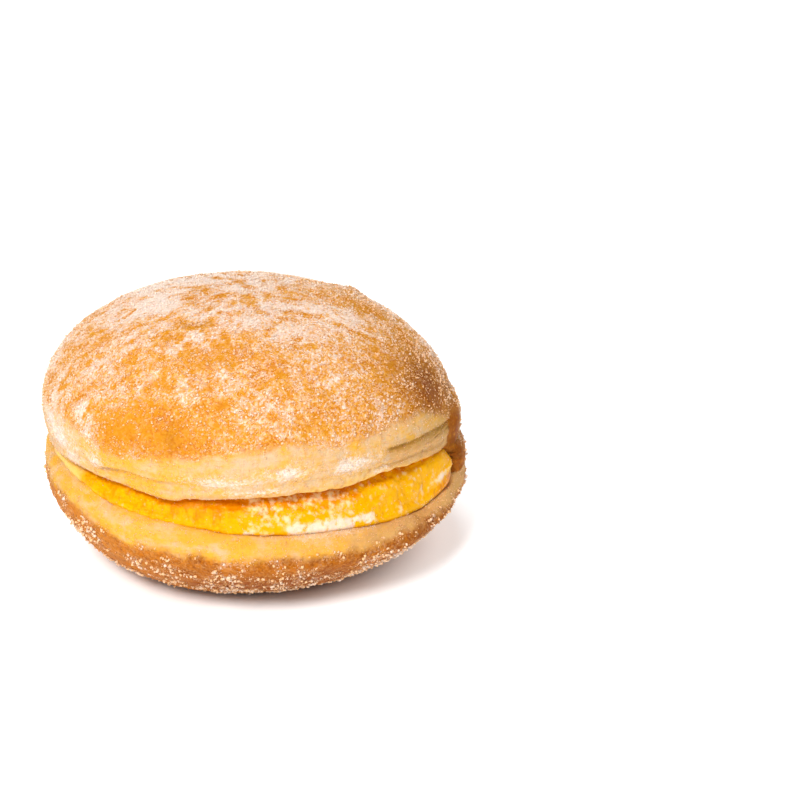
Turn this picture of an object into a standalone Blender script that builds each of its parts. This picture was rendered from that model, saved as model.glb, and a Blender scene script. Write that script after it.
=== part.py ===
"""A cream-filled doughnut: a fried yeast bun, slit from one side and filled with custard cream.

The slit opens towards the front and right, and the bun stays whole along its back, where the
two halves hinge. Metres, +Z up, with the origin under the middle of the bun, on the table.
Azimuths run about +Z: 0 degrees is the front (-Y), 90 degrees the right (+X).
"""

import math

import bmesh
import bpy
from mathutils import Vector

MM = 0.001

# The bun as a whole
LOWER_RADIUS = 44.6 * MM
UPPER_RADIUS = 43.5 * MM
HEIGHT = 57.7 * MM
BASE_FLAT_RADIUS = 24.0 * MM
BASE_FLAT_X = -1.5 * MM  # how far the flat lies to the right of the upper half's middle
BASE_ROUNDNESS = 1.36  # exponents of the superellipses that the underside and the top follow
BASE_ROUNDNESS_LEFT = 1.50
BASE_ROUNDNESS_RIGHT = 1.18
TOP_ROUNDNESS = 2.10
TOP_ROUNDNESS_LEFT = 2.26
TOP_ROUNDNESS_RIGHT = 1.98
APEX_X = 2.5 * MM
APEX_Y = 1.0 * MM
LOWER_SHIFT_X = 1.5 * MM  # how far the lower half sits to the right of the upper one
RIGHT_BULGE = 1.2 * MM  # how much farther both halves reach on the right

# The slit: a slanted lower face, and an upper face raised about the hinge line
CUT_HEIGHT = 20.6 * MM  # of the lower face, at the middle
CUT_SLANT = math.tan(math.radians(5.6))  # it falls to the right
CUT_DISH = 1.1 * MM  # how far it rises again towards the left and right sides
OPENING = math.tan(math.radians(8.9))
HINGE_X = -44.0 * MM
HINGE_Y = -9.0 * MM
OPENS_TOWARDS = math.radians(33.0)
LEAST_GAP = 1.0 * MM
SLIT_END_X = -9.5 * MM
SLIT_END_Y = 14.0 * MM
SLIT_END_RADIUS = 1.5 * MM
MOUTH_LEFT = math.radians(-99.0)
MOUTH_RIGHT = math.radians(78.0)
LEFT_CORNER = math.radians(16.0)  # the stretch over which the slit grows to its full depth
RIGHT_CORNER = math.radians(4.0)
ROLL_LEFT = math.radians(-125.0)  # the lips stay rolled in a little past the slit's ends
ROLL_RIGHT = math.radians(88.0)
ROLL_FADE = math.radians(36.0)
HINGE_BAND = 2.5 * MM  # each half's share of the whole crust that bridges the two at the back
HINGE_BULGE = 0.5 * MM
HINGE_FROM = math.radians(80.0)  # either side of the front

# The lips, where the skin rolls in to the slit
LOWER_LIP_RISE = 5.5 * MM
LOWER_LIP_RISE_SIDES = 3.2 * MM
LOWER_LIP_INSET = 3.2 * MM
UPPER_LIP_RISE = 8.5 * MM
UPPER_LIP_INSET = 3.4 * MM
CREASE_DEPTH = 0.9 * MM  # of the fold that runs round the upper half above its lip
FLAP_AZIMUTH = math.radians(-21.0)  # a torn corner of the upper lip that hangs lower
FLAP_WIDTH = math.radians(8.0)
FLAP_DROP = 1.7 * MM

# Blister on the crust of the upper half
BLISTER = Vector((21.0, 27.0, 44.0)) * MM
BLISTER_RADIUS = 3.6 * MM
BLISTER_RISE = 1.1 * MM

# The cream
CLEARANCE = 0.35 * MM  # left between the cream and the dough
CREAM_LEFT = math.radians(-84.0)
CREAM_RIGHT = math.radians(74.0)
CREAM_BULGE = 1.3 * MM
CREAM_SETBACK_TOP = 3.2 * MM  # behind the upper lip
CREAM_SETBACK_TOP_RIGHT = 0.8 * MM  # at the slit's right-hand end
CREAM_SETBACK_BOTTOM = 0.7 * MM  # behind the lower lip
CREAM_SETBACK_BOTTOM_RIGHT = 1.8 * MM
CREAM_DEPTH = 0.86  # the share of the slit that it fills, from the lips inwards
CREAM_END = math.radians(4.0)  # the stretch over which each end rounds off
CREAM_END_INSET = 0.6 * MM
CREAM_END_DROP = 1.0 * MM

# Mesh counts
AZIMUTHS = 80
FRONT_CROWDING = 0.36  # how much closer the azimuths lie at the mouth than on average
MOUTH_MIDDLE = math.radians(-9.0)
UNDERSIDE_RINGS = 12
LOWER_LIP_RINGS = 4
SLIT_SHARES = (0.03, 0.10, 0.25, 0.50, 0.78, 0.95)
UPPER_LIP_RINGS = 9
CREASE_RING = 5
DOME_RINGS = 12
CREAM_SECTIONS = 44
CREAM_FACE_STEPS = 6

# Waves that make the hand-shaped bun uneven: wave numbers per metre along x, y, z, phase, depth
SKIN_WAVES = (
    ((60.0, 25.0, 40.0), 0.4, 0.32 * MM),
    ((-35.0, 75.0, 30.0), 2.1, 0.30 * MM),
    ((90.0, -55.0, 70.0), 4.4, 0.20 * MM),
    ((130.0, 110.0, -60.0), 1.2, 0.14 * MM),
    ((-160.0, 60.0, 110.0), 5.3, 0.11 * MM),
)
CUT_WAVES = (
    ((95.0, 40.0, 0.0), 1.0, 0.22 * MM),
    ((-50.0, 120.0, 0.0), 3.1, 0.18 * MM),
    ((210.0, -90.0, 0.0), 0.3, 0.10 * MM),
)
SKIN_MIDDLE = Vector((0.0, 0.0, 25.0)) * MM


def ease(start, end, value):
    """0 before start, 1 after end, and a smooth ramp between them."""
    share = min(max((value - start) / (end - start), 0.0), 1.0)
    return share * share * (3.0 - 2.0 * share)


def bell(distance, width):
    return math.exp(-((distance / width) ** 2))


def waves(point, terms):
    return sum(depth * math.sin(Vector(numbers).dot(point) + phase) for numbers, phase, depth in terms)


def outward(azimuth):
    return Vector((math.sin(azimuth), -math.cos(azimuth), 0.0))


def azimuths():
    """The azimuths of the bun's columns, crowded towards the mouth, with two at its blunt right end."""
    found = []
    for i in range(AZIMUTHS):
        even = -math.pi + 2.0 * math.pi * i / AZIMUTHS
        azimuth = MOUTH_MIDDLE + even - FRONT_CROWDING * math.sin(even)
        found.append(math.remainder(azimuth, 2.0 * math.pi))
    for corner in (MOUTH_RIGHT - RIGHT_CORNER, MOUTH_RIGHT):
        nearest = min(range(AZIMUTHS), key=lambda i: abs(found[i] - corner))
        found[nearest] = corner
    return found


def bulging(radius, azimuth):
    """The half's radius at that azimuth."""
    return radius + RIGHT_BULGE * max(math.sin(azimuth), 0.0) ** 2


def mouth_share(azimuth):
    """1 where the slit has its full depth, 0 where the crust is whole."""
    left = ease(MOUTH_LEFT, MOUTH_LEFT + LEFT_CORNER, azimuth)
    right = 1.0 - ease(MOUTH_RIGHT - RIGHT_CORNER, MOUTH_RIGHT, azimuth)
    return left * right


def roll_share(azimuth):
    """1 where the lips roll in, 0 where the side is plain."""
    left = ease(ROLL_LEFT, ROLL_LEFT + ROLL_FADE, azimuth)
    right = 1.0 - ease(ROLL_RIGHT - ROLL_FADE, ROLL_RIGHT, azimuth)
    return left * right


def hinge_band(azimuth):
    """How far each lip draws back from the slit's line, where the crust is whole."""
    return HINGE_BAND * ease(HINGE_FROM, HINGE_FROM + ROLL_FADE, abs(azimuth))


def lower_cut(x, y):
    """Height of the slit's lower face."""
    dish = CUT_DISH * (x / LOWER_RADIUS) ** 2
    return CUT_HEIGHT - CUT_SLANT * x + dish + waves(Vector((x, y, 0.0)), CUT_WAVES)


def slit_gap(x, y):
    """Height between the slit's faces: a wedge about the hinge line, which never quite closes."""
    towards = outward(OPENS_TOWARDS)
    wedge = OPENING * ((x - HINGE_X) * towards.x + (y - HINGE_Y) * towards.y)
    return 0.5 * (wedge + math.hypot(wedge, 2.0 * LEAST_GAP))


def flap(x, y):
    """How far the torn corner hangs below the rest of the upper face."""
    azimuth = math.atan2(x, -y)
    edge = ease(0.86, 0.96, math.hypot(x, y) / UPPER_RADIUS)
    return FLAP_DROP * edge * bell(azimuth - FLAP_AZIMUTH, FLAP_WIDTH)


def upper_cut(x, y):
    """Height of the slit's upper face."""
    return lower_cut(x, y) + slit_gap(x, y) - flap(x, y)


def uneven(point, share):
    """The point moved off the smooth skin by the waves and the blister, by that share."""
    away = (point - SKIN_MIDDLE).normalized()
    rise = waves(point, SKIN_WAVES) + BLISTER_RISE * bell((point - BLISTER).length, BLISTER_RADIUS)
    return point + away * rise * share


def lower_skin(azimuth):
    """The column of points from the base's flat up to the lower lip."""
    out = outward(azimuth)
    outer = bulging(LOWER_RADIUS, azimuth)
    shift = Vector((LOWER_SHIFT_X, 0.0, 0.0))
    flat_shift = Vector((BASE_FLAT_X, 0.0, 0.0))
    plain = 1.0 - roll_share(azimuth)
    inset = LOWER_LIP_INSET * (1.0 - plain)
    rise = LOWER_LIP_RISE + (LOWER_LIP_RISE_SIDES - LOWER_LIP_RISE) * out.x**2
    rise *= 1.0 - 0.5 * plain
    side = BASE_ROUNDNESS_RIGHT if out.x > 0.0 else BASE_ROUNDNESS_LEFT
    roundness = BASE_ROUNDNESS + (side - BASE_ROUNDNESS) * out.x**2
    lip = out * (outer - inset) + shift
    lip.z = lower_cut(lip.x, lip.y) - hinge_band(azimuth)
    widest = lip.z - rise
    column = []
    for i in range(UNDERSIDE_RINGS + 1):
        share = i / UNDERSIDE_RINGS
        turn = 0.5 * math.pi * share
        radius = BASE_FLAT_RADIUS + (outer - BASE_FLAT_RADIUS) * math.sin(turn) ** (2.0 / roundness)
        point = out * radius + flat_shift.lerp(shift, share)
        point.z = widest * (1.0 - math.cos(turn) ** (2.0 / roundness))
        if i > 0:
            point = uneven(point, ease(0.0, 0.5, share))
        point.z = max(point.z, 0.0)
        column.append(point)
    for i in range(1, LOWER_LIP_RINGS + 1):
        turn = 0.5 * math.pi * i / LOWER_LIP_RINGS
        point = out * (outer - inset * (1.0 - math.cos(turn))) + shift
        point.z = widest + rise * math.sin(turn)
        column.append(uneven(point, 1.0))
    return column


def upper_skin(azimuth):
    """The column of points from the upper lip up to just short of the top."""
    out = outward(azimuth)
    plain = 1.0 - roll_share(azimuth)
    outer = bulging(UPPER_RADIUS, azimuth)
    inset = UPPER_LIP_INSET * (1.0 - plain)
    rise = UPPER_LIP_RISE * (1.0 - 0.35 * plain)
    side = TOP_ROUNDNESS_RIGHT if out.x > 0.0 else TOP_ROUNDNESS_LEFT
    roundness = TOP_ROUNDNESS + (side - TOP_ROUNDNESS) * out.x**2
    lip = out * (outer - inset)
    lip.z = upper_cut(lip.x, lip.y) + hinge_band(azimuth)
    widest = lip.z + rise
    column = []
    for i in range(UPPER_LIP_RINGS):
        turn = 0.5 * math.pi * i / UPPER_LIP_RINGS
        dent = CREASE_DEPTH * (1.0 - plain) * bell(i - CREASE_RING, 0.7)
        point = out * (outer - inset * (1.0 - math.sin(turn)) - dent)
        point.z = widest - rise * math.cos(turn)
        column.append(uneven(point, 1.0))
    for i in range(DOME_RINGS):
        turn = 0.5 * math.pi * i / DOME_RINGS
        climb = math.sin(turn) ** (2.0 / roundness)
        point = out * outer * math.cos(turn) ** (2.0 / roundness)
        point += Vector((APEX_X, APEX_Y, 0.0)) * climb
        point.z = widest + (HEIGHT - widest) * climb
        column.append(uneven(point, 1.0))
    return column


def slit_column(azimuth, lower_lip, upper_lip):
    """The column of points from the lower lip in along one face, round, and out along the other.

    Where the crust is whole, the same points spread out over the crust between the two lips.
    """
    share = mouth_share(azimuth)
    end = Vector((SLIT_END_X, SLIT_END_Y, 0.0)) + outward(azimuth) * SLIT_END_RADIUS
    way_in = [(depth, 0.0) for depth in SLIT_SHARES]
    way_out = [(depth, 1.0) for depth in reversed(SLIT_SHARES)]
    stops = [*way_in, (1.0, 0.5), *way_out]
    column = []
    for i, (depth, face) in enumerate(stops):
        even = (i + 1.0) / (len(stops) + 1.0)
        side = face * share + even * (1.0 - share)
        skin = lower_lip.lerp(upper_lip, side)
        skin += outward(azimuth) * HINGE_BULGE * math.sin(math.pi * even) * (1.0 - roll_share(azimuth))
        inside = skin.lerp(end, depth * share)
        floor = lower_cut(inside.x, inside.y)
        roof = upper_cut(inside.x, inside.y)
        inside.z = (floor + (roof - floor) * face) * share + skin.z * (1.0 - share)
        column.append(inside)
    return column


def bun_column(azimuth):
    lower = lower_skin(azimuth)
    upper = upper_skin(azimuth)
    return [*lower, *slit_column(azimuth, lower[-1], upper[0]), *upper]


def cream_section(azimuth):
    """One upright slice through the cream, as a closed loop of points."""
    out = outward(azimuth)
    end = Vector((SLIT_END_X, SLIT_END_Y, 0.0)) + out * SLIT_END_RADIUS
    from_end = min(azimuth - CREAM_LEFT, CREAM_RIGHT - azimuth)
    rounding = 1.0 - math.sqrt(1.0 - (1.0 - min(from_end / CREAM_END, 1.0)) ** 2)
    clearance = CLEARANCE + CREAM_END_DROP * rounding
    towards_right = ease(math.radians(40.0), CREAM_RIGHT, azimuth)
    setback = CREAM_SETBACK_BOTTOM + (CREAM_SETBACK_BOTTOM_RIGHT - CREAM_SETBACK_BOTTOM) * towards_right
    roll = roll_share(azimuth)
    lower_edge = out * (bulging(LOWER_RADIUS, azimuth) - LOWER_LIP_INSET * roll - setback)
    lower_edge.x += LOWER_SHIFT_X
    setback = CREAM_SETBACK_TOP + (CREAM_SETBACK_TOP_RIGHT - CREAM_SETBACK_TOP) * towards_right
    upper_edge = out * (bulging(UPPER_RADIUS, azimuth) - UPPER_LIP_INSET * roll - setback)
    lower_edge -= out * CREAM_END_INSET * rounding
    upper_edge -= out * CREAM_END_INSET * rounding
    loop = []
    steps = [depth * CREAM_DEPTH for depth in (1.0, 0.85, 0.6, 0.35, 0.15)]
    for depth in steps:
        point = lower_edge.lerp(end, depth)
        point.z = lower_cut(point.x, point.y) + clearance
        loop.append(point)
    for i in range(CREAM_FACE_STEPS + 1):
        climb = i / CREAM_FACE_STEPS
        point = lower_edge.lerp(upper_edge, climb) + out * CREAM_BULGE * math.sin(math.pi * climb)
        floor = lower_cut(point.x, point.y) + clearance
        roof = upper_cut(point.x, point.y) - clearance
        point.z = floor + (roof - floor) * climb
        loop.append(point)
    for depth in reversed(steps):
        point = upper_edge.lerp(end, depth)
        point.z = upper_cut(point.x, point.y) - clearance
        loop.append(point)
    return loop


def joined_faces(mesh, first, second, closed):
    """Quads between two rows of vertices."""
    count = len(first)
    for i in range(count if closed else count - 1):
        after = (i + 1) % count
        mesh.faces.new((first[i], first[after], second[after], second[i]))


def finish_object(name, mesh, material):
    bmesh.ops.recalc_face_normals(mesh, faces=mesh.faces)
    data = bpy.data.meshes.new(name)
    mesh.to_mesh(data)
    mesh.free()
    data.materials.append(material)
    data.shade_smooth()
    data.set_sharp_from_angle(angle=math.radians(40.0))
    made = bpy.data.objects.new(name, data)
    bpy.context.scene.collection.objects.link(made)
    return made


def make_bun(material):
    """Rings of points from the base's flat to the top, joined by faces and closed at both ends."""
    mesh = bmesh.new()
    columns = [bun_column(azimuth) for azimuth in azimuths()]
    rings = [[mesh.verts.new(point) for point in ring] for ring in zip(*columns)]
    for first, second in zip(rings, rings[1:]):
        joined_faces(mesh, first, second, closed=True)
    mesh.faces.new(rings[0])
    top = mesh.verts.new(uneven(Vector((APEX_X, APEX_Y, HEIGHT)), 1.0))
    for i, vertex in enumerate(rings[-1]):
        mesh.faces.new((vertex, rings[-1][(i + 1) % AZIMUTHS], top))
    return finish_object("bun", mesh, material)


def make_cream(material):
    """Upright slices side by side, joined by faces and closed at both ends."""
    mesh = bmesh.new()
    span = CREAM_RIGHT - CREAM_LEFT
    slices = [cream_section(CREAM_LEFT + span * i / (CREAM_SECTIONS - 1)) for i in range(CREAM_SECTIONS)]
    loops = [[mesh.verts.new(point) for point in loop] for loop in slices]
    for first, second in zip(loops, loops[1:]):
        joined_faces(mesh, first, second, closed=True)
    mesh.faces.new(loops[0])
    mesh.faces.new(loops[-1])
    return finish_object("cream", mesh, material)


def plain_material(name, colour, roughness):
    material = bpy.data.materials.new(name)
    material.use_nodes = True
    shader = material.node_tree.nodes["Principled BSDF"]
    shader.inputs["Base Color"].default_value = (*colour, 1.0)
    shader.inputs["Roughness"].default_value = roughness
    shader.inputs["Metallic"].default_value = 0.0
    return material


def centre_on_base(bun, pieces):
    """Moves the pieces' points so that the middle of the bun's box is over the origin."""
    xs = [vertex.co.x for vertex in bun.data.vertices]
    ys = [vertex.co.y for vertex in bun.data.vertices]
    offset = Vector(((min(xs) + max(xs)) / 2.0, (min(ys) + max(ys)) / 2.0, 0.0))
    for piece in pieces:
        for vertex in piece.data.vertices:
            vertex.co -= offset
        piece.data.update()


def main():
    for old in list(bpy.data.objects):
        bpy.data.objects.remove(old)
    bun = make_bun(plain_material("fried_dough", (0.72, 0.36, 0.12), 0.7))
    cream = make_cream(plain_material("custard_cream", (0.95, 0.60, 0.03), 0.35))
    centre_on_base(bun, (bun, cream))


main()
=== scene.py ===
"""A cream-filled doughnut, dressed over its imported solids: browned crust, custard and sugar.

Laid out as a Blender add-on and run as a script. Metres, +Z up, the origin under the middle of
the bun. Azimuths run about +Z in degrees: 0 is the front (-Y), 90 the right (+X).
"""

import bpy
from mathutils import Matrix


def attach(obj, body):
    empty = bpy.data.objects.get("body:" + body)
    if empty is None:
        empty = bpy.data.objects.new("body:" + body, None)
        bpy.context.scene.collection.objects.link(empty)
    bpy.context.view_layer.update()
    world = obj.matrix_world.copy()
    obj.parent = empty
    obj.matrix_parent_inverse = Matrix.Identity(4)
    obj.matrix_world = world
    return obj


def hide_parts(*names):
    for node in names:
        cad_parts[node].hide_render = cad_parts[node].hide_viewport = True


bl_info = {
    "name": "Cream-filled doughnut",
    "version": (1, 0, 0),
    "blender": (4, 5, 0),
    "location": "3D View > Sidebar > Doughnut",
    "description": "Makes a sugared, custard-filled doughnut and a plain studio around it",
    "category": "Object",
}

import math

import bpy
import numpy as np
from mathutils import Matrix, Vector, noise

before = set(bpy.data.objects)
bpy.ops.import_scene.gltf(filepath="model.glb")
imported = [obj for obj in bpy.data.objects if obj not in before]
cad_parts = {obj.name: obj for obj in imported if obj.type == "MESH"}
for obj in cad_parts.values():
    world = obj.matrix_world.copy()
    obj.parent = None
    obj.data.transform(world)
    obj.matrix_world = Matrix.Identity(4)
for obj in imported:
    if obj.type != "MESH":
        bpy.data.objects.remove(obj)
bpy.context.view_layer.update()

MM = 0.001

# Lines round the bun: (azimuth in degrees, height in millimetres)
CRUST_EDGE_ABOVE = (
    (-160, 31.0), (-130, 31.5), (-105, 32.5), (-88, 34.0), (-75, 36.5), (-63, 38.6), (-55, 38.4),
    (-50, 37.8), (-45, 37.0), (-41, 35.4), (-36, 35.6), (-31, 35.9), (-25, 36.5), (-19, 37.0),
    (-11, 37.8), (-2, 39.0), (4, 39.4), (10, 40.1), (15, 40.1), (21, 39.1), (27, 38.5), (33, 38.6),
    (40, 39.2), (46, 39.5), (52, 39.4), (60, 38.6), (70, 35.7), (78, 32.4), (86, 32.0),
    (100, 32.5), (130, 31.0), (160, 30.8),
)
CRUST_EDGE_BELOW = (
    (-160, 23.0), (-130, 22.5), (-105, 22.5), (-88, 23.0), (-77, 21.8), (-68, 21.9), (-61, 21.1),
    (-54, 20.6), (-47, 18.9), (-39, 17.3), (-32, 16.6), (-23, 17.3), (-17, 16.5), (-12, 16.7),
    (-5, 15.9), (4, 16.2), (14, 16.4), (22, 15.7), (34, 15.5), (49, 16.3), (59, 16.2), (70, 15.4),
    (81, 16.0), (100, 19.0), (130, 22.0), (160, 23.0),
)
FOLD_LEFT = (
    (-46, 30.3), (-44, 30.7), (-39, 31.9), (-35, 32.5), (-32, 32.5), (-29, 32.2), (-23, 31.9),
    (-20, 31.7), (-17, 30.9), (-12, 30.9), (-8, 31.2), (-4, 31.6), (4, 31.9), (12, 32.0),
)
FOLD_RIGHT = (
    (36, 35.4), (40, 35.1), (45, 35.0), (51, 34.7), (56, 34.6), (65, 34.0), (74, 33.0), (84, 32.0),
)
LOWER_LIP = (
    (-99, 26.5), (-71, 24.8), (-56, 24.4), (-48, 24.4), (-43, 23.5), (-34, 22.7), (-27, 22.1),
    (-18, 21.4), (-11, 20.7), (4, 20.0), (18, 19.4), (27, 19.0), (37, 18.5), (56, 18.2), (68, 17.5),
    (88, 17.8),
)

# Places on the bun: azimuths in degrees, heights and radii in millimetres
RING_LEFT_END = (-119.5, -118.0)  # the azimuths over which the pale ring comes out of whole crust
RING_RIGHT_END = 77.0  # the azimuth where it stops against whole crust again
LIP_RIGHT_END = 91.0  # the same below the slit
SLIT_HEIGHTS = (14.0, 34.0)  # around both of its faces
SLIT_RADIUS = 41.6  # the slit's faces lie inside it
SLIT_LEFT_END = -97.0  # the azimuth round which the slit is pressed shut
SEAM = (-103.0, -87.5)  # the azimuths between which it is shut altogether
SEAM_HEIGHT = 25.4
BARE_HINGE = (77.0, 83.0)  # the azimuths of whole crust next to the slit, with little sugar
CUSTARD_FACE = (34.0, 37.5)  # the radii over which the custard comes into sight
MM_A_DEGREE = 0.72  # along the custard's face
ON_TABLE = 0.4  # the skin below this height stays flat on the table
LEAST_HEIGHT = 0.02  # of everything else above the table

# How far things stand out, hang or move, in millimetres
LOWER_GRAIN = 0.14  # fine relief on the lower crust
RIB_RELIEF = 0.10  # upright ribs on the pale ring
LAYER_RELIEF = 0.20  # flat torn layers on the pale ring
CRUMB_RELIEF = 0.25  # open crumb on the slit's faces
HINGE_BULGE = 1.4  # the whole crust at the slit's right end
TEAR_DEPTH = 0.9  # the small tear in the lower lip on the left
SPUR_HEIGHT = 0.7  # the spur of dough beside that tear
LIP_ROLL = 0.35  # the lower lip's rounded edge
FLAP_DROPS = (0.9, 0.5)  # the upper lip's small flap, on either side of its corner
UPPER_LIP_RISE = 1.6  # towards the slit's right end
LOWER_LIP_RISE = 2.1
LEFT_END_RISE = 1.3
CUSTARD_FILL = 0.2  # all of the custard's surface
CUSTARD_RIM = 0.7  # the custard where it bulges over the lower lip
CUSTARD_END_OUT, CUSTARD_END_UP = 0.8, 1.4  # the custard's right end
CUSTARD_END_TURN = 3.2  # degrees that it also runs on round the bun

# Soft patches of sugar on the top: middle and reach in millimetres along x, y, z, and strength
BLOOM_PATCHES = (
    ((-15, 12, 56), (15, 10, 8), 1.25), ((-21, -2, 56), (13, 9, 8), 1.15),
    ((-3, 4, 58), (9, 7, 8), 0.95), ((2, 15, 57), (12, 8, 8), 0.85), ((-22, -16, 54), (6, 5, 6), 0.55),
    ((-11, -22, 55), (7, 3.5, 6), 1.0), ((-7, -11, 57), (8, 4, 6), 0.7), ((0, -8, 58), (9, 5, 6), 0.7),
    ((1, -16, 57), (10, 3.5, 6), 0.7), ((-24, -31, 48), (5, 3, 4), 0.3),
    ((-18, -30, 50), (6, 2.5, 4), 0.3), ((-5, -33, 51), (3.5, 3, 4), 0.2),
    ((1, -36, 49), (6, 2.5, 4), 0.3), ((-33, -28, 42), (2.6, 3, 4), 1.0),
    ((-32, -30, 39), (2.5, 3, 4), 1.0), ((-12, -36, 48), (2, 2, 2), 0.3),
    ((-39, -16, 42), (5, 5, 5), 0.5), ((-41, 1, 44), (5, 8, 7), 0.5), ((-33, -3, 50), (6, 8, 7), 0.55),
    ((12, -8, 56), (9, 5, 6), 0.95), ((18, -6, 56), (8, 5, 6), 0.8), ((21, -12, 55), (8, 5, 6), 0.5),
    ((16, -24, 52), (5, 3, 5), 0.45), ((7, -18, 56), (9, 4, 6), 0.6), ((5, -37, 48), (3, 2, 3), 0.4),
    ((19, -30, 49), (4, 2.5, 3), 0.5), ((28, -29, 43), (5, 5, 5), 0.2), ((-30, -19, 50), (6, 5, 5), 0.35),
    ((10, 22, 54), (12, 9, 8), 0.7), ((-20, 28, 48), (9, 9, 8), 0.6), ((30, 18, 48), (8, 10, 8), 0.55),
    ((-4, 36, 44), (8, 6, 7), 0.6), ((38, 6, 42), (5, 8, 7), 0.5),
)
# The same on the pale ring
RING_PATCHES = (
    ((-36.5, -24, 30.5), (4, 4, 2.5), 1.0), ((-38, -20, 34), (7, 8, 4), 1.0),
    ((-31, -31, 33), (3, 3, 3), 0.8), ((-4, -43, 32.5), (9, 3, 1.8), 0.8),
    ((10, -42, 34), (7, 3, 2.0), 0.7), ((3, -42, 30), (9, 3, 1.0), 0.7),
    ((22, -36, 33.5), (7, 4, 2.2), 0.9), ((28, -31, 30), (3, 3, 1.2), 1.0),
    ((-41, -15, 36), (5, 6, 3), 0.9), ((13, -39, 19.8), (6, 3, 1.0), 1.1),
    ((20, -36.5, 19.5), (5, 3, 1.0), 1.1), ((26, -33, 19.3), (4, 3, 1.0), 0.8),
)
# Where the top's crust is almost bare, and where its sugar lies evenly
CLEAR_PATCHES = (
    ((-25, -36, 41), (9, 7, 5), 1.0), ((-15, -40, 41), (9, 6, 4.5), 1.0),
    ((-19, -36, 45), (7, 5, 3.5), 0.6), ((-8, -27, 53), (9, 3, 5), 0.6), ((-34, -8, 46), (5, 6, 4), 0.4),
    ((24, 4, 54), (7, 4, 5), 0.5), ((37, -14, 41), (11, 12, 9), 1.0), ((44, -7, 30), (4, 6, 9), 0.9),
)
EVEN_PATCHES = (
    ((20, -32, 46), (13, 9, 8), 1.0), ((31, -24, 43), (10, 9, 8), 0.8), ((2, -40, 43), (8, 4, 4), 0.7),
)
# Custard on the pale ring
SMEARS = (
    ((-33.0, -27, 23.2), (2.2, 2.2, 0.7), 0.7), ((-14.8, -41.5, 17.2), (2.2, 2.0, 0.8), 0.5),
    ((-8, -42.5, 17.6), (1.6, 2.0, 0.6), 0.4),
)
# Raised spots; their strengths are heights in millimetres
BLISTERS = (
    ((-36.6, -24, 30), (3.5, 3.5, 2.0), 0.5), ((20.5, 18, 51.5), (2.6, 5.0, 3.0), 1.1),
    ((17.5, 18, 52.6), (1.6, 4.0, 3.0), 0.5),
)
# The darkest browning: real scorches on the top, and patches of painted shade on the right of the top, on the
# crust at the slit's right end and on the lower crust near the table
SCORCH_AND_SHADE_PATCHES = (
    ((-14.3, -38.5, 40), (1.6, 3.0, 3.2), 0.5), ((20.5, 19, 51), (3.4, 5.0, 3.0), 0.9),
    # Painted shadow on the right of the top and on the whole crust at the slit's right end
    ((37, -15, 42.5), (11, 12, 8), 1.1), ((42, -5, 38), (7, 8, 7), 0.9), ((44, -7, 28), (5, 6, 10), 1.0),
    # Painted shade on the lower crust at the front and right, towards the table
    ((8, -38, 7), (28, 12, 7), 1.35), ((36, -20, 9), (15, 18, 8), 1.35),
    ((-11, -16, 56), (4, 1.2, 3), 0.6), ((8, -9, 57), (4, 1.0, 3), 0.45), ((-21, -8, 55), (4, 1.0, 3), 0.4),
    ((14, 38, 36), (5, 4, 4), 0.4),
)

# Colours of the food's smaller features
# The darkest brown, for scorches and for painted shade
SCORCH_AND_SHADE_BROWN = (0.22, 0.048, 0.006)
CRUMB_PORE, CRUMB_WALL = (0.62, 0.28, 0.04), (0.86, 0.54, 0.15)
CUSTARD_SMEAR = (0.80, 0.34, 0.01)
# Painted shade in the folds of the pale ring
FOLD_SHADE = (0.47, 0.23, 0.025)
CLEAR_GRIT, MILKY_GRIT, LOWER_GRIT = (0.85, 0.43, 0.09), (0.93, 0.79, 0.70), (0.72, 0.36, 0.20)
CUSTARD_CRUMB = (0.88, 0.55, 0.13)
THIN_SUGAR, THICK_SUGAR = (0.90, 0.64, 0.33), (0.89, 0.73, 0.60)
WHITE = (1.0, 1.0, 1.0, 1.0)
GRIT_CELL = 0.42 * MM  # a grain of the finest sugar, which is in the dough's material

# The stage and the camera, in metres, degrees and, in the frame, points
KEY_PLACE, KEY_WIDTH = (-0.40, -1.20, 1.15), 0.55
TOP_PLACE, TOP_WIDTH = (-0.12, -0.15, 1.60), 0.80
FLOOR_WIDTH = 8.0
NEAR_GLOW, FAR_GLOW = (0.025, 0.041), (0.4, 2.0)  # from the middle, where each sets in
FAR_GLOW_STRENGTH = 0.6
CAMERA_TILT, CAMERA_DISTANCE = 22.0, 0.6
FRAME_MIDDLE, FRAME_FOCAL = 400.0, 2748.0
ORIGIN_IN_FRAME = (257.6, 541.0)
SENSOR_WIDTH = 36.0  # millimetres


# ---- Settings that a user would change ----


def colour_setting(name, description, default):
    return bpy.props.FloatVectorProperty(
        name=name, description=description, default=default, subtype="COLOR", size=3, min=0.0, max=1.0
    )


def length_setting(name, description, default):
    return bpy.props.FloatProperty(
        name=name, description=description, default=default, min=0.0, max=0.01, precision=5, unit="LENGTH"
    )


def amount_setting(name, description, default, unit="NONE"):
    return bpy.props.FloatProperty(name=name, description=description, default=default, min=0.0, unit=unit)


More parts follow.
